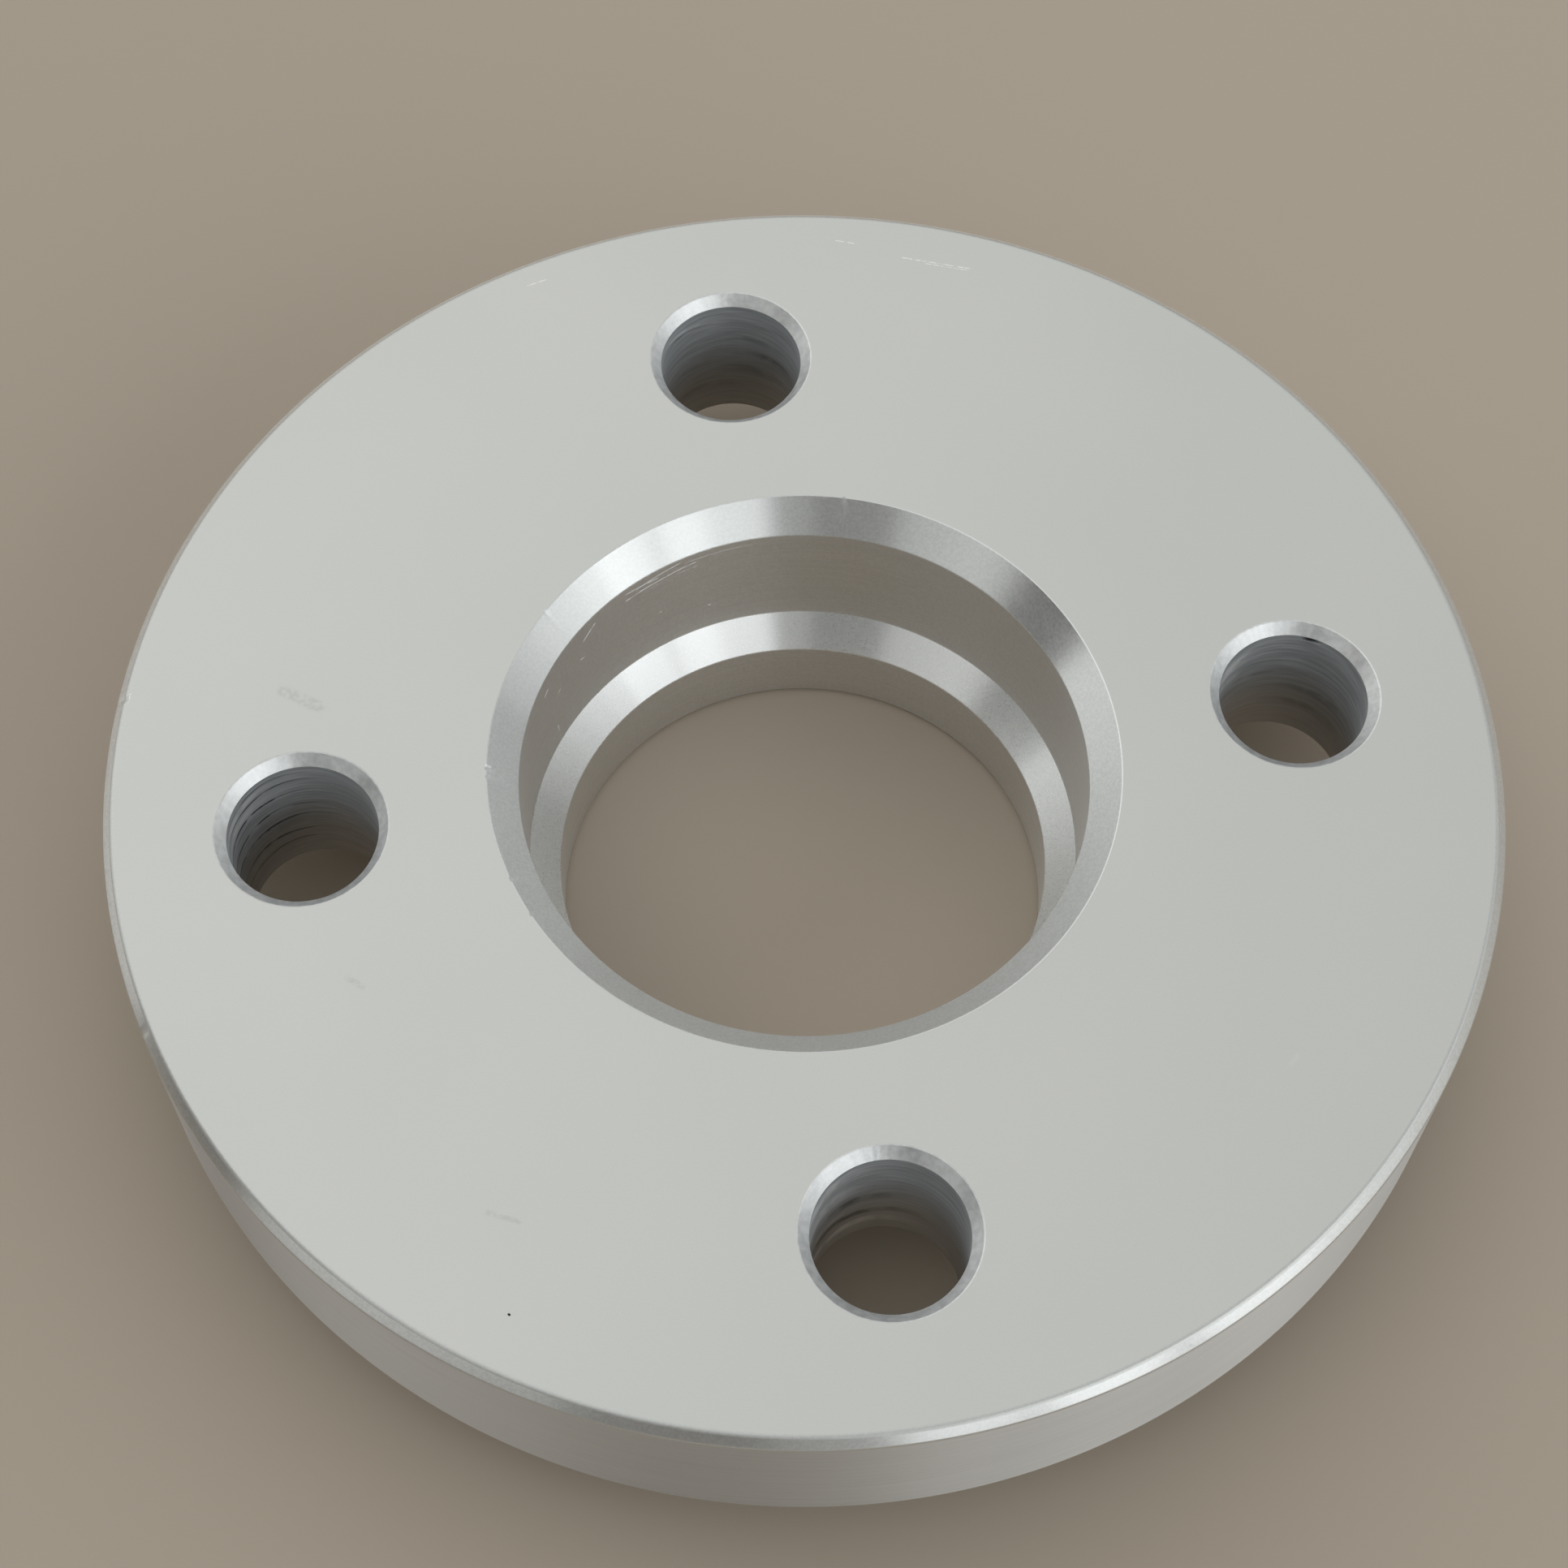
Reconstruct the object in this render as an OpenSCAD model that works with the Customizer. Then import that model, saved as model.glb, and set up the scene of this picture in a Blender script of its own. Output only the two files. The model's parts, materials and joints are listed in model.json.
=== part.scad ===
// Wheel spacer: one turned and drilled piece of aluminium that goes between a wheel hub and a wheel.
// The hub enters the stepped bore from above, the lip underneath centres the wheel,
// and the wheel bolts pass straight through the flange.
// The spacer stands on the end of its lip, with its axis along Z.

/* [Flange] */
// Outside diameter of the flange
flange_d = 139; // [126:0.5:170]
// Thickness of the flange, which is how far it moves the wheel outwards
flange_t = 20; // [12:0.5:40]
// Width of the chamfer round the rim at the hub face
hub_side_chamfer = 1; // [0.3:0.1:2.5]
// Width of the chamfer round the rim at the wheel face
wheel_side_chamfer = 0.5; // [0.2:0.1:2.5]

/* [Bolt holes] */
// Number of bolt holes
bolt_count = 4; // [3:1:6]
// Diameter of the circle through the centres of the bolt holes
bolt_circle_d = 100; // [90:0.5:108]
// Diameter of a bolt hole
bolt_hole_d = 15; // [12:0.1:17]
// Width of the countersunk edge at both ends of a bolt hole
bolt_hole_chamfer = 1.1; // [0.3:0.1:2]

/* [Hub bore] */
// Diameter of the bore that takes the hub
hub_bore_d = 57.1; // [52:0.1:66]
// Width of the lead-in chamfer at the mouth of the hub bore
hub_lead_in = 3; // [1:0.1:5]
// Slope of the conical step from the hub bore down to the lip bore, in degrees from level
step_slope = 45; // [30:1:60]
// Thickness of the wall between the conical step and the corner where the lip meets the flange
step_web = 1.4; // [1:0.1:4]

/* [Hub lip] */
// Diameter of the wheel's centre hole, which goes over the lip
wheel_hole_d = 57.1; // [52:0.1:66]
// Clearance in diameter between the lip and the wheel's centre hole
lip_clearance = 0.1; // [0.05:0.05:0.5]
// Height of the lip below the wheel face of the flange
lip_h = 10; // [7:0.5:20]
// Thickness of the lip's wall
lip_wall = 3; // [2:0.1:5]
// Width of the lead-in chamfer round the outside of the lip's end
lip_lead_in = 1; // [0.3:0.1:1.4]
// Width of the broken edge round the inside of the lip's end
lip_edge_break = 0.5; // [0.1:0.1:0.9]

/* [Hidden] */
$fn = 128;
// Distance that a cutting shape reaches past the surface it cuts
overcut = 1;
total_h = lip_h + flange_t;
rim_r = flange_d / 2;
hub_bore_r = hub_bore_d / 2;
lip_r = (wheel_hole_d - lip_clearance) / 2;
lip_bore_r = lip_r - lip_wall;
step_top_z = lip_h + step_web / cos(step_slope) + (hub_bore_r - lip_r) * tan(step_slope);
step_bottom_z = step_top_z - (hub_bore_r - lip_bore_r) * tan(step_slope);

// Half section of the turned blank, as radius and height
section = [
    [lip_bore_r + lip_edge_break, 0],
    [lip_r - lip_lead_in, 0],
    [lip_r, lip_lead_in],
    [lip_r, lip_h],
    [rim_r - wheel_side_chamfer, lip_h],
    [rim_r, lip_h + wheel_side_chamfer],
    [rim_r, total_h - hub_side_chamfer],
    [rim_r - hub_side_chamfer, total_h],
    [hub_bore_r + hub_lead_in, total_h],
    [hub_bore_r, total_h - hub_lead_in],
    [hub_bore_r, step_top_z],
    [lip_bore_r, step_bottom_z],
    [lip_bore_r, lip_edge_break]
];

module turned_blank() {
    rotate_extrude()
        polygon(section);
}

// Countersink with its small end down, standing on the plane where the chamfer meets the hole's wall
module countersink() {
    cylinder(h = bolt_hole_chamfer + overcut, r1 = bolt_hole_d / 2,
        r2 = bolt_hole_d / 2 + bolt_hole_chamfer + overcut);
}

module bolt_hole() {
    translate([0, 0, lip_h - overcut])
        cylinder(h = flange_t + 2 * overcut, d = bolt_hole_d);
    translate([0, 0, total_h - bolt_hole_chamfer])
        countersink();
    translate([0, 0, lip_h + bolt_hole_chamfer])
        mirror([0, 0, 1])
            countersink();
}

module spacer() {
    color([0.78, 0.79, 0.77])
        difference() {
            turned_blank();
            for (i = [0 : bolt_count - 1])
                rotate([0, 0, i * 360 / bolt_count])
                    translate([bolt_circle_d / 2, 0, 0])
                        bolt_hole();
        }
}

spacer();
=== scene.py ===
import json
import math
import random

import bmesh
import bpy
from mathutils import Matrix, Vector


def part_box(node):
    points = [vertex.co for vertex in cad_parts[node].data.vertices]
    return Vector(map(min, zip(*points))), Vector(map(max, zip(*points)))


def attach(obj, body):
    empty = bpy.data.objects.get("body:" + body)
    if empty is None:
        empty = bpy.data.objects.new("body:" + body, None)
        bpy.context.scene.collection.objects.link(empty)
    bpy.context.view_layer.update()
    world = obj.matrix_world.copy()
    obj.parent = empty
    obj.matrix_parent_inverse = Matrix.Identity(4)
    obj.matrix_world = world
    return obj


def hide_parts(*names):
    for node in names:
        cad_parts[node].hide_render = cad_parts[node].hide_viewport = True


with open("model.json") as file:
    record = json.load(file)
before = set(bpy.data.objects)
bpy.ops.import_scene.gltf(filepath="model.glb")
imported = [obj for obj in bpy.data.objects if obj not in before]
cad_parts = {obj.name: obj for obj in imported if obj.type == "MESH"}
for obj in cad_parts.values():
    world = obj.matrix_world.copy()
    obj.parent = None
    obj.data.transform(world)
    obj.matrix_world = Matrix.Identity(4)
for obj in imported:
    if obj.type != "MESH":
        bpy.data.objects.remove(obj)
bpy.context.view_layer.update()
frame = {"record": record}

# The view: a hand-held camera that looks steeply down on the hub face.
# Its place, tilt and focal length were fitted to the spacer's edges in the photograph.
MM = 0.001
hub_face_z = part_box("spacer")[1].z
view_turn = Matrix.Rotation(math.radians(-9.22), 4, "Z")
camera_from_hub_face = Vector((-2.02, -144.34, 260.03)) * MM
camera_tilt_down = math.radians(61.435)
camera_roll = math.radians(0.345)
photo_px = 1932
focal_px = 3688.9
sensor_mm = 36

camera_data = bpy.data.cameras.new("camera")
camera_data.sensor_width = sensor_mm
camera_data.lens = focal_px / photo_px * sensor_mm
camera = bpy.data.objects.new("camera", camera_data)
bpy.context.scene.collection.objects.link(camera)
bpy.context.scene.camera = camera
camera.matrix_world = (
    Matrix.Translation((0, 0, hub_face_z))
    @ view_turn
    @ Matrix.Translation(camera_from_hub_face)
    @ Matrix.Rotation(math.pi / 2 - camera_tilt_down, 4, "X")
    @ Matrix.Rotation(camera_roll, 4, "Z")
)

# The turned blank: one piece of aluminium bar, turned outside and bored inside on a lathe.
# Its half section runs from the hub face over the rim, under the flange, round the lip and back up
# the stepped bore. Every corner has its edge broken, and the rim's upper ones are worn soft.
mounts = {mount["name"]: mount for mount in frame["record"]["mounts"]}
rim_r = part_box("spacer")[1].x
wheel_face_z = mounts["wheel_face"]["pos_m"][2]
hub_bore_r = mounts["hub_bore"]["dims"]["r_mm"] * MM
lip_r = mounts["wheel_lip"]["dims"]["r_mm"] * MM
lip_bore_r = mounts["lip_bore"]["dims"]["r_mm"] * MM
hub_side_chamfer = 1 * MM
wheel_side_chamfer = 0.5 * MM
hub_lead_in = 3 * MM
lip_lead_in = wheel_face_z - mounts["wheel_lip"]["dims"]["length_mm"] * MM
lip_edge_break = 0.5 * MM
step_top_z = hub_face_z - hub_lead_in - mounts["hub_bore"]["dims"]["length_mm"] * MM
step_bottom_z = lip_edge_break + mounts["lip_bore"]["dims"]["length_mm"] * MM
broken_edge = 0.07 * MM
worn_edge = 0.28 * MM
worn_steps = 8
nick_height = 0.45 * MM
turned_segments = 960


class Shade:
    """A value in a material's node tree. Arithmetic on it adds Math nodes."""

    def __init__(self, tree, socket=None):
        self.tree = tree
        self.socket = socket

    def node(self, kind, settings=None, inputs=None, output=0):
        """Adds a node, with its settings made before its inputs are set or linked."""
        made = self.tree.nodes.new(kind)
        for name, value in (settings or {}).items():
            setattr(made, name, value)
        for name, value in (inputs or {}).items():
            if isinstance(value, Shade):
                self.tree.links.new(value.socket, made.inputs[name])
            else:
                made.inputs[name].default_value = value
        return Shade(self.tree, made.outputs[output])

    def math(self, operation, *values):
        return self.node("ShaderNodeMath", {"operation": operation}, dict(enumerate(values)))

    def __add__(self, other):
        return self.math("ADD", self, other)

    def __sub__(self, other):
        return self.math("SUBTRACT", self, other)

    def __rsub__(self, other):
        return self.math("SUBTRACT", other, self)

    def __mul__(self, other):
        return self.math("MULTIPLY", self, other)

    __radd__ = __add__
    __rmul__ = __mul__

    def vector(self, operation, *values, output=0):
        settings = {"operation": operation}
        return self.node("ShaderNodeVectorMath", settings, dict(enumerate(values)), output)

    def between(self, low, high):
        """0 below low, 1 above high and smooth between them."""
        inputs = {"Value": self, "From Min": low, "From Max": high}
        return self.node("ShaderNodeMapRange", {"interpolation_type": "SMOOTHSTEP"}, inputs)

    def blend(self, first, second):
        """The first colour where this value is 0, and the second where it is 1."""
        return self.node("ShaderNodeMix", {"data_type": "RGBA"}, {0: self, 6: first, 7: second}, 2)

    def place(self):
        """The point of the spacer that is shaded, in metres."""
        return self.node("ShaderNodeTexCoord", output="Object")

    def part(self, axis):
        """The X, Y or Z of this vector."""
        return self.node("ShaderNodeSeparateXYZ", None, {0: self}, axis)

    def noise(self, per_mm, detail=2):
        """Noise about 0.5 over this place, with so many bumps for each mm along X, Y and Z."""
        stretched = self.vector("MULTIPLY", self, [bumps / MM for bumps in per_mm])
        inputs = {"Vector": stretched, "Scale": 1, "Detail": detail}
        return self.node("ShaderNodeTexNoise", None, inputs)


finishes = []
grooves_round_axis = 0.25


def metal(name, anisotropy=0.0):
    """Starts a bare metal. Anisotropy gives it grooves that run round the spacer's axis."""
    material = bpy.data.materials.new(name)
    material.use_nodes = True
    finishes.append(material)
    principled = material.node_tree.nodes["Principled BSDF"]
    principled.inputs["Metallic"].default_value = 1
    principled.inputs["Anisotropic"].default_value = anisotropy
    principled.inputs["Anisotropic Rotation"].default_value = grooves_round_axis
    return Shade(material.node_tree)


def dress(shade, colour, roughness, height, relief):
    """Feeds a metal's colour, roughness and relief, a height of 0 to 1 over so many metres.
    Returns the finish's number on the mesh."""
    principled = shade.tree.nodes["Principled BSDF"]
    bump = shade.node("ShaderNodeBump", None, {"Strength": 1, "Distance": relief, "Height": height})
    shade.tree.links.new(colour.socket, principled.inputs["Base Color"])
    shade.tree.links.new(roughness.socket, principled.inputs["Roughness"])
    shade.tree.links.new(bump.socket, principled.inputs["Normal"])
    return len(finishes) - 1


def even(per_mm):
    return (per_mm, per_mm, per_mm)


# Satin turned wall of the rim and outside of the lip, with fine tool lines round it
shade = metal("turned_rim", 0.97)
place = shade.place()
tool_lines = place.noise((0.05, 0.05, 6), 3)
grain = place.noise(even(4))
rim_colour = tool_lines.between(0.3, 0.7).blend((0.63, 0.63, 0.615, 1), (0.68, 0.68, 0.665, 1))
TURNED_RIM = dress(shade, rim_colour, 0.42 + 0.10 * grain, tool_lines, 0.001 * MM)

# Bright chamfers, fresh from the tool, with a speckle of tiny facets
shade = metal("bright_turned", 0.92)
place = shade.place()
tool_lines = place.noise((0.06, 0.06, 9), 3)
grain = place.noise(even(3.4), 3)
speckle = tool_lines * 0.15 + grain * 0.85
bright_colour = speckle.between(0.35, 0.65)
bright_colour = bright_colour.blend((0.765, 0.785, 0.775, 1), (0.845, 0.865, 0.855, 1))
BRIGHT_TURNED = dress(shade, bright_colour, 0.25 + 0.10 * grain, speckle, 0.002 * MM)

# Edges of the rim that handling has worn soft and dull
shade = metal("worn_edge")
place = shade.place()
grain = place.noise(even(4), 3)
worn_colour = grain.between(0.35, 0.65).blend((0.64, 0.655, 0.64, 1), (0.69, 0.70, 0.68, 1))
WORN_EDGE = dress(shade, worn_colour, 0.40 + 0.10 * grain, grain, 0.004 * MM)

# Conical step of the bore, cut last and freshly turned. Its colour, lighter than the chamfers',
# is painted light for the light that the bore wall bounces onto it.
shade = metal("bright_step", 0.92)
place = shade.place()
tool_lines = place.noise((0.06, 0.06, 9), 3)
grain = place.noise(even(3.4), 3)
speckle = tool_lines * 0.15 + grain * 0.85
step_colour_with_painted_bounce = speckle.between(0.3, 0.7).blend((0.87, 0.885, 0.88, 1), (0.92, 0.935, 0.93, 1))
BRIGHT_STEP = dress(shade, step_colour_with_painted_bounce, 0.25 + 0.06 * grain, speckle, 0.001 * MM)

# Bored walls, with fine tool lines and a few scratches round the upper left of the hub bore
shade = metal("bored", 0.85)
place = shade.place()
tool_lines = place.noise((0.05, 0.05, 5), 3)
grain = place.noise(even(3))
breaks = place.noise(even(1.1), 2).between(0.30, 0.55)
turn = shade.math("ARCTAN2", place.part("Y"), place.part("X"))
unrolled = place.node("ShaderNodeCombineXYZ", None, {"X": turn * hub_bore_r, "Y": place.part("Z")})
# Share of a mark's half width that shows at full strength
mark_core = 0.4


def line_mark(flat_place, start_mm, end_mm, half_width_mm):
    """1 along a line between two points in mm on a flat or unrolled surface, and 0 away from it."""
    start = Vector((*start_mm, 0)) * MM
    along = Vector((*end_mm, 0)) * MM - start
    from_start = flat_place.vector("SUBTRACT", flat_place, start)
    towards_end = along / along.length_squared
    share = flat_place.vector("DOT_PRODUCT", from_start, towards_end, output="Value")
    share = flat_place.node("ShaderNodeClamp", None, {"Value": share})
    settings = {"operation": "SCALE"}
    on_line = flat_place.node("ShaderNodeVectorMath", settings, {0: along, "Scale": share})
    distance = flat_place.vector("DISTANCE", from_start, on_line, output="Value")
    return 1 - distance.between(half_width_mm * mark_core * MM, half_width_mm * MM)


# Scratches in the hub bore: angle in degrees and height in mm of both ends,
# half width in mm and boldness
bore_scratches = [
    ((121.4, 24.8), (112.9, 24.9), 0.11, 0.8),
    ((112.9, 24.9), (104.5, 25.4), 0.10, 0.9),
    ((121.9, 26.0), (113.3, 25.5), 0.10, 0.7),
    ((118.6, 25.6), (108.1, 26.3), 0.10, 0.6),
    ((116.0, 24.2), (101.0, 24.7), 0.09, 0.4),
    ((106.0, 25.9), (92.0, 26.0), 0.09, 0.4),
    ((134.1, 24.3), (130.4, 25.4), 0.13, 0.9),
    ((135.6, 21.6), (133.6, 21.0), 0.11, 0.7),
    ((149.6, 24.3), (148.0, 24.6), 0.15, 0.8),
    ((144.4, 20.9), (143.4, 21.1), 0.15, 0.7),
    ((145.9, 15.5), (145.6, 14.1), 0.15, 0.6),
    ((113.3, 18.7), (113.0, 18.7), 0.16, 0.8),
    ((101.8, 16.2), (101.5, 16.2), 0.16, 0.8),
]
scratched = 0
for start, end, half_width, boldness in bore_scratches:
    ends = [(math.radians(degrees) * hub_bore_r / MM, height) for degrees, height in (start, end)]
    scratched = scratched + line_mark(unrolled, *ends, half_width) * boldness
scratched = scratched * breaks
wall_colour = (tool_lines * 0.4 + grain * 0.6).between(0.25, 0.75)
wall_colour = wall_colour.blend((0.70, 0.70, 0.685, 1), (0.80, 0.80, 0.785, 1))
wall_colour = scratched.blend(wall_colour, (0.95, 0.95, 0.95, 1))
wall_height = tool_lines * 0.4 - scratched
BORED = dress(shade, wall_colour, 0.28 + 0.12 * grain + scratched * 0.4, wall_height, 0.004 * MM)

FLAT = -1
mouth_r = hub_bore_r + hub_lead_in
# Corners of the section as radius and height, each with the finish from there to the next
# and how much of both sides its broken edge takes up. The two with none stop the nicks there.
section = [
    ((rim_r - hub_side_chamfer, hub_face_z), BRIGHT_TURNED, worn_edge),
    ((rim_r, hub_face_z - hub_side_chamfer), TURNED_RIM, worn_edge / 2),
    ((rim_r, hub_face_z - hub_side_chamfer - nick_height), TURNED_RIM, 0),
    ((rim_r, wheel_face_z + wheel_side_chamfer), BRIGHT_TURNED, broken_edge),
    ((rim_r - wheel_side_chamfer, wheel_face_z), FLAT, broken_edge),
    ((lip_r, wheel_face_z), TURNED_RIM, broken_edge),
    ((lip_r, lip_lead_in), BRIGHT_TURNED, broken_edge),
    ((lip_r - lip_lead_in, 0), TURNED_RIM, broken_edge),
    ((lip_bore_r + lip_edge_break, 0), BRIGHT_TURNED, broken_edge),
    ((lip_bore_r, lip_edge_break), BORED, broken_edge),
    ((lip_bore_r, step_bottom_z), BRIGHT_STEP, broken_edge),
    ((hub_bore_r, step_top_z), BORED, broken_edge),
    ((hub_bore_r, hub_face_z - hub_lead_in), BRIGHT_TURNED, broken_edge),
    ((mouth_r - nick_height, hub_face_z - nick_height), BRIGHT_TURNED, 0),
    ((mouth_r, hub_face_z), FLAT, broken_edge),
]


def break_edges(section):
    """Rounds the corners off, the worn ones in steps and the others with one small flat."""
    broken = []
    for i, (corner, finish, reach) in enumerate(section):
        here = Vector(corner)
        last_corner, last_finish = section[i - 1][:2]
        next_corner = section[(i + 1) % len(section)][0]
        before = (Vector(last_corner) - here).normalized() * reach
        after = (Vector(next_corner) - here).normalized() * reach
        edge_finish = last_finish if finish == FLAT else finish
        steps = 1
        if reach > broken_edge:
            edge_finish = WORN_EDGE
            steps = worn_steps
        if reach > 0:
            for step in range(steps):
                share = step / steps
                broken.append((here + before * (1 - share) ** 2 + after * share**2, edge_finish))
        broken.append((here + after, finish))
    return broken


# Nicks in the turned edges: angle in degrees, radius and height of the edge,
# how far it is pushed out and down, and half the nick's length
nicks = [
    (172.8, mouth_r, hub_face_z, 0.16 * MM, -0.08 * MM, 0.30 * MM),
    (174.6, mouth_r, hub_face_z, 0.08 * MM, -0.05 * MM, 0.25 * MM),
    (73.3, mouth_r, hub_face_z, 0.06 * MM, -0.04 * MM, 0.18 * MM),
    (196.0, mouth_r, hub_face_z, 0.07 * MM, -0.05 * MM, 0.30 * MM),
    (204.0, mouth_r, hub_face_z, 0.06 * MM, -0.05 * MM, 0.25 * MM),
    (138.0, mouth_r, hub_face_z, 0.05 * MM, -0.04 * MM, 0.25 * MM),
    (165.4, rim_r - hub_side_chamfer, hub_face_z, -0.10 * MM, -0.06 * MM, 0.25 * MM),
    (196.2, rim_r, hub_face_z - hub_side_chamfer, -0.07 * MM, -0.02 * MM, 0.24 * MM),
]
nick_reach = 0.4 * MM


def worn(angle, r, z):
    """Where a point of the turned surface ends up, after the nicks in its edges."""
    worn_r, worn_z = r, z
    for degrees, edge_r, edge_z, push_out, push_down, half_length in nicks:
        if math.hypot(r - edge_r, z - edge_z) < nick_reach:
            away = (angle - math.radians(degrees) + math.pi) % (2 * math.pi) - math.pi
            pushed = max(0, 1 - (away * r / half_length) ** 2)
            worn_r += push_out * pushed
            worn_z += push_down * pushed if z < hub_face_z else 0
    return worn_r, worn_z


spacer_mesh = bmesh.new()
tone_layer = spacer_mesh.verts.layers.float.new("tone")


def ring(centre, points):
    """A loop of vertices round an upright axis, from each one's angle, radius, height and tone."""
    loop = []
    for angle, r, z, tone in points:
        x = centre.x + r * math.cos(angle)
        y = centre.y + r * math.sin(angle)
        vertex = spacer_mesh.verts.new((x, y, z))
        vertex[tone_layer] = tone
        loop.append(vertex)
    return loop


def join_rings(first, second, finish):
    for i in range(len(first)):
        j = (i + 1) % len(first)
        face = spacer_mesh.faces.new((first[i], second[i], second[j], first[j]))
        face.material_index = finish


def angles(count):
    return [2 * math.pi * i / count for i in range(count)]


axis = Vector((0, 0))
outline = break_edges(section)
turned_rings = []
for (r, z), finish in outline:
    points = [(angle, *worn(angle, r, z), 0) for angle in angles(turned_segments)]
    turned_rings.append(ring(axis, points))
face_loops = []
for i, (start, finish) in enumerate(outline):
    j = (i + 1) % len(outline)
    if finish == FLAT:
        face_loops.append((start.y, [turned_rings[i], turned_rings[j]]))
    else:
        join_rings(turned_rings[i], turned_rings[j], finish)

# The bolt holes: drilled straight through the flange on one circle and countersunk at both ends.
# Chips scored the walls, in sharp rings in one hole and in soft bands in the others; the scores'
# dark tone is painted shade and the bright smears are painted highlights.
bolt_circle_r = mounts["wheel_bolts"]["dims"]["pcd_mm"] / 2 * MM
bolt_hole_r = mounts["wheel_bolts"]["dims"]["hole_r_mm"] * MM
bolt_hole_chamfer = 1.1 * MM
bolt_hole_mouth_r = bolt_hole_r + bolt_hole_chamfer
wall_depth_mm = (hub_face_z - wheel_face_z - 2 * bolt_hole_chamfer) / MM
hole_segments = 144

# Countersinks, bright with mottled patches, radial chatter marks and a sparkle of tiny facets
shade = metal("countersunk")
place = shade.place()
chatter = shade.node("ShaderNodeAttribute", {"attribute_name": "tone"}, output="Fac")
mottle = place.noise(even(1.4), 3)
grain = place.noise(even(6), 3)
patches = mottle.between(0.35, 0.65) * 0.6 + grain * 0.4
sink_colour = (patches - chatter * 0.8).blend((0.73, 0.745, 0.74, 1), (0.89, 0.905, 0.90, 1))
sink_height = mottle + chatter + grain * 0.5
sink_roughness = 0.38 + 0.16 * mottle + chatter * 0.05
COUNTERSUNK = dress(shade, sink_colour, sink_roughness, sink_height, 0.015 * MM)

# Drilled walls, streaked round the hole, torn and dull at the top where chips came out
# and smoother below. The top's lighter, bluer colour is a painted reflection of the sky, and
# the lower part's darker, browner colour is painted shade and a painted reflection of the floor.
# The dark scores are painted shade and the bright smears are painted highlights.
shade = metal("drilled")
place = shade.place()
tone = shade.node("ShaderNodeAttribute", {"attribute_name": "tone"}, output="Fac")
streaks = place.noise((0.14, 0.14, 2.4), 4)
fine_streaks = place.noise((0.3, 0.3, 8), 3)
broken = 0.35 + 0.65 * place.noise(even(0.45), 2).between(0.38, 0.58)
streaked = (streaks * 0.55 + fine_streaks * 0.45).between(0.34, 0.66)
torn_and_sky_lit_top = place.part("Z").between(wheel_face_z + 2 * MM, hub_face_z - 5 * MM)
# Painted light: the lower wall's darker, browner colour is painted shade and a painted reflection
# of the floor, and the top's lighter, bluer colour is a painted reflection of the sky.
floor_shaded_low_colour = streaked.blend((0.54, 0.53, 0.52, 1), (0.64, 0.63, 0.62, 1))
sky_lit_top_colour = streaked.blend((0.54, 0.565, 0.585, 1), (0.74, 0.765, 0.785, 1))
drilled_colour = torn_and_sky_lit_top.blend(floor_shaded_low_colour, sky_lit_top_colour)
# Painted light: scores with tone above 0 get painted shade, near black, and those below 0 and the
# torn edge's burr get painted highlights, near white.
drilled_colour = (tone.between(0, 1) * broken).blend(drilled_colour, (0.04, 0.04, 0.044, 1))
drilled_colour = ((tone * -1).between(0, 1) * broken).blend(drilled_colour, (0.97, 0.98, 0.99, 1))
drilled_height = (streaks * 0.6 + fine_streaks * 0.4) * (0.4 + 0.6 * torn_and_sky_lit_top)
drilled_roughness = 0.30 + 0.34 * torn_and_sky_lit_top + 0.14 * streaks
DRILLED = dress(shade, drilled_colour, drilled_roughness, drilled_height, 0.03 * MM)

# Scores in each hole's wall, by the hole's angle in degrees. Each has its depth below
# the countersink, half width, cut and lean in mm, the angle where it is boldest and how far
# it fades from there in degrees, and its tone, painted shade above 0 and a painted highlight below.
hole_scores = {
    0: [
        (0.45, 0.35, 0.35, 0.0, 63, 11, 1.0),
        (2.3, 1.10, -0.01, 0.3, 132, 50, -1.0),
        (5.1, 0.80, -0.02, 0.4, 140, 35, -0.9),
        (6.8, 0.45, 0.03, 0.4, 100, 70, 0.30),
        (9.3, 0.80, 0.03, 0.5, 45, 60, 0.35),
        (12.4, 0.90, 0.02, 0.5, 50, 70, 0.30),
    ],
    90: [
        (1.0, 0.30, -0.01, 1.66, 122, 55, -0.7),
        (1.46, 0.22, 0.05, 1.66, 122, 55, 0.45),
        (5.3, 0.60, 0.02, 0.3, 60, 50, 0.30),
        (7.6, 0.70, 0.03, 0.4, 48, 50, 0.45),
        (10.4, 0.80, 0.02, 0.5, 55, 60, 0.30),
        (13.2, 0.80, 0.02, 0.4, 110, 80, 0.25),
    ],
    180: [
        (0.9, 0.13, 0.05, 0.15, 140, 80, 0.7),
        (1.6, 0.50, -0.01, 0.18, 150, 60, -0.7),
        (2.4, 0.15, 0.08, 0.20, 140, 90, 0.9),
        (3.4, 0.60, -0.01, 0.22, 150, 60, -0.6),
        (4.5, 0.19, 0.09, 0.25, 136, 95, 1.0),
        (5.6, 0.11, 0.04, 0.28, 150, 60, 0.6),
        (7.1, 0.17, 0.08, 0.30, 138, 90, 0.9),
        (9.4, 0.20, 0.10, 0.30, 136, 95, 1.0),
        (12.3, 0.17, 0.07, 0.30, 130, 90, 0.8),
        (14.3, 0.15, 0.05, 0.20, 125, 85, 0.6),
    ],
    270: [
        (1.7, 1.30, -0.01, 0.2, 150, 80, -0.9),
        (5.6, 1.50, -0.01, 0.3, 150, 80, -0.9),
        (8.8, 0.85, 0.03, 0.4, 108, 62, 0.55),
        (10.8, 0.45, -0.01, 0.35, 140, 60, -0.6),
        (12.4, 0.70, 0.03, 0.3, 112, 95, 0.60),
        (14.8, 0.80, -0.01, 0.3, 120, 90, -0.8),
    ],
}
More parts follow.
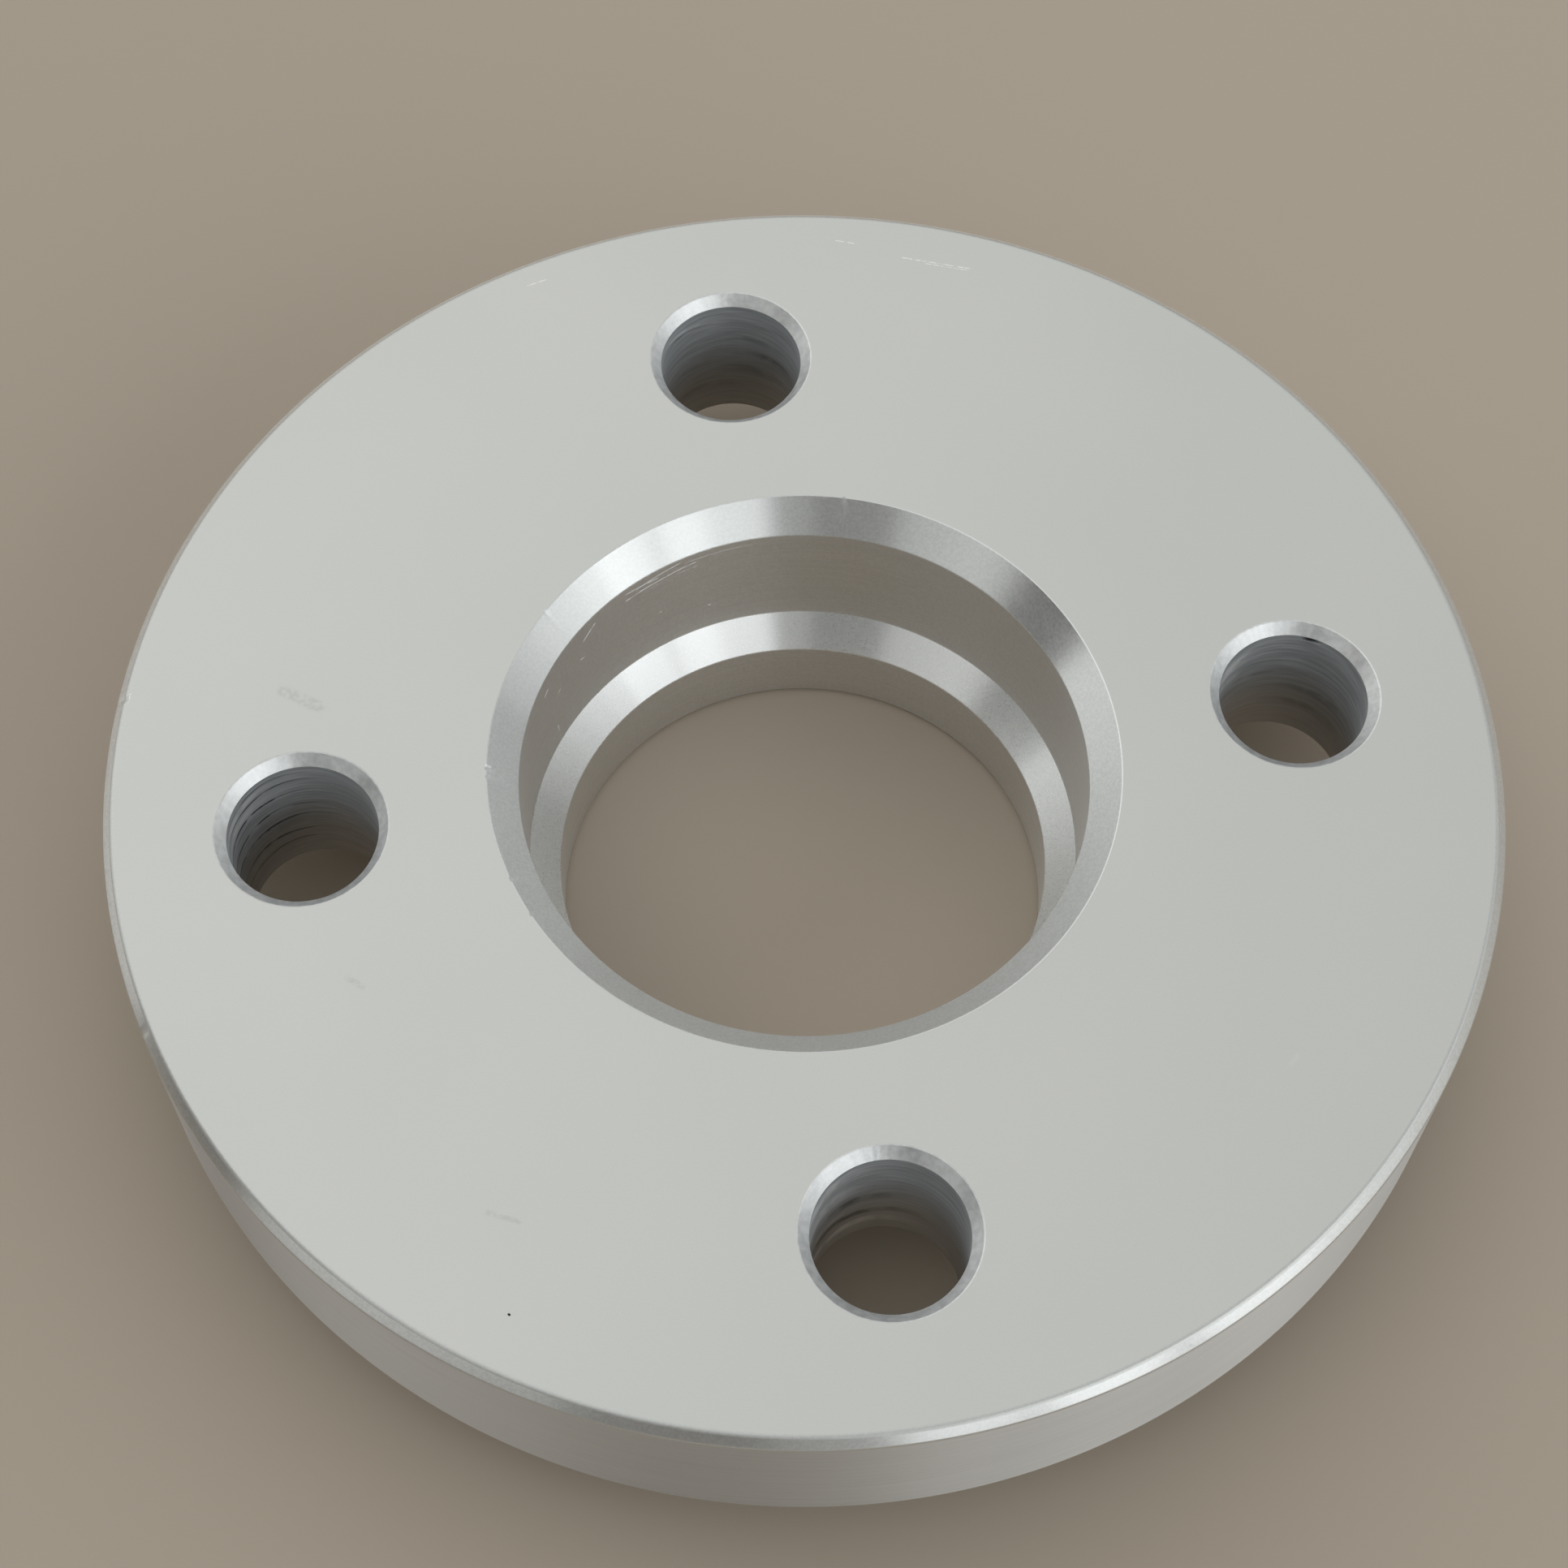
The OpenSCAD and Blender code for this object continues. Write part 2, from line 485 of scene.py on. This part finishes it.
# The angle in degrees that scores lean down towards, and their waves and least distance in mm
lean_towards = 60
waviness = 0.10
least_gap = 0.03
# Points across a score: the place in half widths, and the shares of its cut and tone there
across_score = ((-1, 0, 0.2), (-0.5, 0.6, 0.9), (0, 0.8, 1), (0.6, 0.5, 0.9), (1.2, 0, 0.3))
# The hole whose lower edge is torn, the tear's middle and reach in degrees,
# and its height and burr in mm. The burr also gets a painted highlight.
torn_hole = 0
torn_at = 150
torn_reach = 75
torn_height = 0.9
torn_burr = 0.18
# Where round the countersinks the chatter is boldest and how far it fades from there, in degrees
chatter_at = 88
chatter_reach = 40


def fade(degrees, middle, reach):
    """1 at the middle, falling smoothly to 0 at the reach on both sides of it."""
    away = abs((degrees - middle + 180) % 360 - 180)
    return 0.5 + 0.5 * math.cos(math.pi * min(away / reach, 1))


def wall_line(degrees, scores, tear_and_highlight):
    """One line down a drilled wall, as points of depth, cut and tone."""
    line = [(0, 0, 0)]
    for depth, half_width, cut, lean, boldest_at, reach, tone in scores:
        bold = fade(degrees, boldest_at, reach)
        middle = depth + lean * math.cos(math.radians(degrees - lean_towards))
        middle += waviness * math.sin(math.radians(5 * degrees) + depth)
        for share, cut_part, tone_part in across_score:
            cut_here = cut * bold * cut_part
            line.append((middle + share * half_width, cut_here, tone * bold * tone_part))
    # The torn edge's burr gets a negative tone, which is a painted highlight.
    line.append((wall_depth_mm - tear_and_highlight * torn_height, -tear_and_highlight * torn_burr, -tear_and_highlight))
    spaced = []
    for k, (depth, cut, tone) in enumerate(line):
        deepest = line[-1][0] - (len(line) - 1 - k) * least_gap
        shallowest = spaced[-1][0] + least_gap if spaced else 0
        spaced.append((max(min(depth, deepest), shallowest), cut, tone))
    return spaced


draw = random.Random(7)
for hole_degrees, scores in hole_scores.items():
    centre = Matrix.Rotation(math.radians(hole_degrees), 2) @ Vector((bolt_circle_r, 0))
    lines = []
    chatter_tones = []
    for angle in angles(hole_segments):
        degrees = math.degrees(angle)
        tear_and_highlight = 0
        ragged = draw.uniform(0, 1)
        if hole_degrees == torn_hole:
            tear_and_highlight = 0.4 + 0.3 * ragged + 0.3 * math.sin(9 * angle)
            tear_and_highlight *= fade(degrees, torn_at, torn_reach)
        lines.append(wall_line(degrees, scores, tear_and_highlight))
        bold = 0.20 + 0.40 * fade(degrees, chatter_at, chatter_reach)
        chatter_tones.append(draw.uniform(-0.5, 0.5) * bold)
    wall_top_z = hub_face_z - bolt_hole_chamfer
    wall = []
    for line_points in zip(*lines):
        points = []
        for angle, (depth, cut, tone) in zip(angles(hole_segments), line_points):
            points.append((angle, bolt_hole_r + cut * MM, wall_top_z - depth * MM, tone))
        wall.append(ring(centre, points))
    for upper, lower in zip(wall, wall[1:]):
        join_rings(upper, lower, DRILLED)
    for face_z, wall_end, into_hole in ((hub_face_z, wall[0], -1), (wheel_face_z, wall[-1], 1)):
        toned = list(zip(angles(hole_segments), chatter_tones))
        edge_r = bolt_hole_mouth_r + broken_edge
        edge = ring(centre, [(angle, edge_r, face_z, 0) for angle, tone in toned])
        cone_r = bolt_hole_mouth_r - broken_edge
        cone_z = face_z + into_hole * broken_edge
        cone = ring(centre, [(angle, cone_r, cone_z, tone) for angle, tone in toned])
        foot_r = bolt_hole_r + broken_edge / 2
        foot_z = face_z + into_hole * (bolt_hole_chamfer - broken_edge / 2)
        foot = ring(centre, [(angle, foot_r, foot_z, tone) for angle, tone in toned])
        join_rings(edge, cone, COUNTERSUNK)
        join_rings(cone, foot, COUNTERSUNK)
        join_rings(foot, wall_end, COUNTERSUNK)
        for loop_z, loops in face_loops:
            if abs(loop_z - face_z) < broken_edge:
                loops.append(edge)

# The two faces of the flange: the hub face and the wheel face, both flat with a fine even satin.
# The hub face has a few light scratches and scuffs from handling.
shade = metal("satin")
place = shade.place()
grain = place.noise(even(5), 3)
clouds = place.noise(even(0.03))
breaks = place.noise(even(2.0), 2).between(0.35, 0.6)
flat_place = place.vector("MULTIPLY", place, (1, 1, 0))
scratches = (
    line_mark(flat_place, (20.4, 60.4), (27.5, 57.75), 0.10)
    + line_mark(flat_place, (22.8, 59.2), (27.1, 57.6), 0.07)
    + line_mark(flat_place, (13.7, 63.8), (15.6, 63.1), 0.08)
    + line_mark(flat_place, (-20.4, 62.8), (-18.4, 63.3), 0.08)
    + line_mark(flat_place, (-66.1, 16.9), (-65.7, 17.8), 0.14)
    + line_mark(flat_place, (40.0, -39.5), (41.2, -38.4), 0.30) * 0.12
)
scuffs = (
    line_mark(flat_place, (-50.5, 15.8), (-47.2, 13.5), 0.9)
    + line_mark(flat_place, (-46.9, -16.8), (-45.6, -18.0), 0.4)
    + line_mark(flat_place, (-36.3, -42.4), (-33.5, -43.8), 0.35)
)
speck = line_mark(flat_place, (-35.4, -52.4), (-35.35, -52.45), 0.16)
on_hub_face = place.part("Z").between(wheel_face_z, hub_face_z)
scratches = scratches * breaks * on_hub_face
scuffs = scuffs * breaks * on_hub_face
speck = speck * on_hub_face
satin_colour = (grain * 0.6 + clouds * 0.4).between(0.3, 0.7)
satin_colour = satin_colour.blend((0.655, 0.67, 0.645, 1), (0.69, 0.70, 0.675, 1))
satin_colour = scratches.blend(satin_colour, (0.92, 0.93, 0.92, 1))
satin_colour = (scuffs * 0.07).blend(satin_colour, (0.30, 0.30, 0.29, 1))
satin_colour = speck.blend(satin_colour, (0.02, 0.02, 0.02, 1))
satin_roughness = 0.40 + 0.10 * grain + scuffs * 0.1
SATIN = dress(shade, satin_colour, satin_roughness, grain - scratches, 0.004 * MM)

for face_z, loops in face_loops:
    loop_edges = []
    for loop in loops:
        loop_edges += [spacer_mesh.edges.get((loop[i - 1], loop[i])) for i in range(len(loop))]
    filled = bmesh.ops.triangle_fill(spacer_mesh, use_beauty=True, edges=loop_edges)
    for element in filled["geom"]:
        if isinstance(element, bmesh.types.BMFace):
            element.material_index = SATIN

# The finished spacer: the blank, its holes and its faces are one closed piece.
# Corners shade as crisp, and the arcs of the rim and bores shade as smooth.
smooth_below = math.radians(8)
bmesh.ops.recalc_face_normals(spacer_mesh, faces=spacer_mesh.faces)
for face in spacer_mesh.faces:
    face.smooth = True
for edge in spacer_mesh.edges:
    flat_sides = sum(face.material_index == SATIN for face in edge.link_faces)
    edge.smooth = flat_sides != 1 and edge.calc_face_angle(math.pi) < smooth_below

mesh = bpy.data.meshes.new("spacer_body")
spacer_mesh.to_mesh(mesh)
spacer_mesh.free()
for material in finishes:
    mesh.materials.append(material)
spacer = bpy.data.objects.new("spacer_body", mesh)
bpy.context.scene.collection.objects.link(spacer)
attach(spacer, "root")
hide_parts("spacer")

# The floor: one plain pale matt sheet that the spacer stands on,
# laid flat and so wide that its edges are far off.
floor_half = 60
floor_colour = (0.51, 0.44, 0.36, 1)
floor_mesh = bpy.data.meshes.new("floor")
square = ((-1, -1), (1, -1), (1, 1), (-1, 1))
floor_corners = [(x * floor_half, y * floor_half, 0) for x, y in square]
floor_mesh.from_pydata(floor_corners, [], [(0, 1, 2, 3)])
floor_material = bpy.data.materials.new("floor")
floor_material.use_nodes = True
floor_shader = floor_material.node_tree.nodes["Principled BSDF"]
floor_shader.inputs["Base Color"].default_value = floor_colour
floor_shader.inputs["Roughness"].default_value = 0.9
floor_shader.inputs["Specular IOR Level"].default_value = 0.2
floor_mesh.materials.append(floor_material)
floor = bpy.data.objects.new("floor", floor_mesh)
bpy.context.scene.collection.objects.link(floor)

# The studio: a dome, brightest overhead on the far left and dim near the ground, a soft window of
# three panes to the right of the camera, whose light fades along the wall beside it into a weak
# fill, and two dark cards, on the left and behind the camera, that give the metal contrast.
bright_side = view_turn.to_3x3() @ Vector((-0.62, 0.45, 0.64)).normalized()
world = bpy.data.worlds.new("studio")
bpy.context.scene.world = world
world.use_nodes = True
dome = Shade(world.node_tree)
direction = dome.node("ShaderNodeTexCoord", output="Generated")
towards_bright = dome.vector("DOT_PRODUCT", direction, bright_side, output="Value")
levels = {"Value": towards_bright, "From Min": 0.1, "To Min": 0.35, "To Max": 1.05}
level = dome.node("ShaderNodeMapRange", None, levels)
above_ground = direction.part("Z").between(0, 0.8)
level = level * (0.69 + 0.31 * above_ground)
background = world.node_tree.nodes["Background"]
background.inputs["Color"].default_value = (1, 1, 0.985, 1)
world.node_tree.links.new(level.socket, background.inputs["Strength"])


def facing_spacer(azimuth, elevation, distance):
    """Stands something off in a direction from the spacer, in degrees from the right of the view,
    with its Y axis pointing away."""
    return (
        view_turn
        @ Matrix.Rotation(math.radians(azimuth - 90), 4, "Z")
        @ Matrix.Rotation(math.radians(elevation), 4, "X")
        @ Matrix.Translation((0, distance, 0))
    )


lamp_distance = 9.6
half_beam = math.radians(60)
daylight = (0.96, 0.985, 1.0)
window_elevation = 24
window_height = 8.0
strip_width = 1.44
first_strip = -22.6
next_strip = 8.4


def softbox(name, azimuth, elevation, width, height, radiance):
    """A lamp of so much radiance straight ahead. Its grid keeps light off the floor below it."""
    gain_of_grid = math.tan(half_beam) / (math.tan(half_beam) - half_beam)
    data = bpy.data.lights.new(name, "AREA")
    data.shape = "RECTANGLE"
    data.color = daylight
    data.size = width
    data.size_y = height
    data.spread = 2 * half_beam
    data.energy = radiance * math.pi * width * height / gain_of_grid
    lamp = bpy.data.objects.new(name, data)
    bpy.context.scene.collection.objects.link(lamp)
    face_spacer = Matrix.Rotation(-math.pi / 2, 4, "X")
    lamp.matrix_world = facing_spacer(azimuth, elevation, lamp_distance) @ face_spacer
    lamp.visible_camera = False


softbox("window_left", -70.8, window_elevation, 2.4, window_height, 0.95)
softbox("window_middle", -53.4, window_elevation, 2.56, window_height, 1.35)
softbox("window_right", -34.6, window_elevation, 2.64, window_height, 1.35)
for strip, radiance in enumerate((1.0, 0.84, 0.68, 0.54, 0.42)):
    azimuth = first_strip + next_strip * strip
    softbox(f"window_wall_{strip}", azimuth, window_elevation, strip_width, window_height, radiance)
softbox("side_fill", 40, 18, 9.2, 6.4, 0.32)

card_colour = (0.10, 0.10, 0.10, 1)
card_material = bpy.data.materials.new("dark_card")
card_material.use_nodes = True
card_shader = card_material.node_tree.nodes["Principled BSDF"]
card_shader.inputs["Base Color"].default_value = card_colour


def dark_card(name, azimuth, elevation, distance, width, height):
    """A card that faces the spacer and shows only in its reflections."""
    card_mesh = bpy.data.meshes.new(name)
    corners = [(x * width / 2, 0, z * height / 2) for x, z in square]
    card_mesh.from_pydata(corners, [], [(0, 1, 2, 3)])
    card_mesh.materials.append(card_material)
    card = bpy.data.objects.new(name, card_mesh)
    bpy.context.scene.collection.objects.link(card)
    card.matrix_world = facing_spacer(azimuth, elevation, distance)
    card.visible_camera = False


dark_card("card_left", 190, 28, 0.7, 0.28, 0.62)
dark_card("card_behind", 255, 28, 1.0, 0.39, 0.54)

bpy.context.scene.view_settings.view_transform = "Standard"
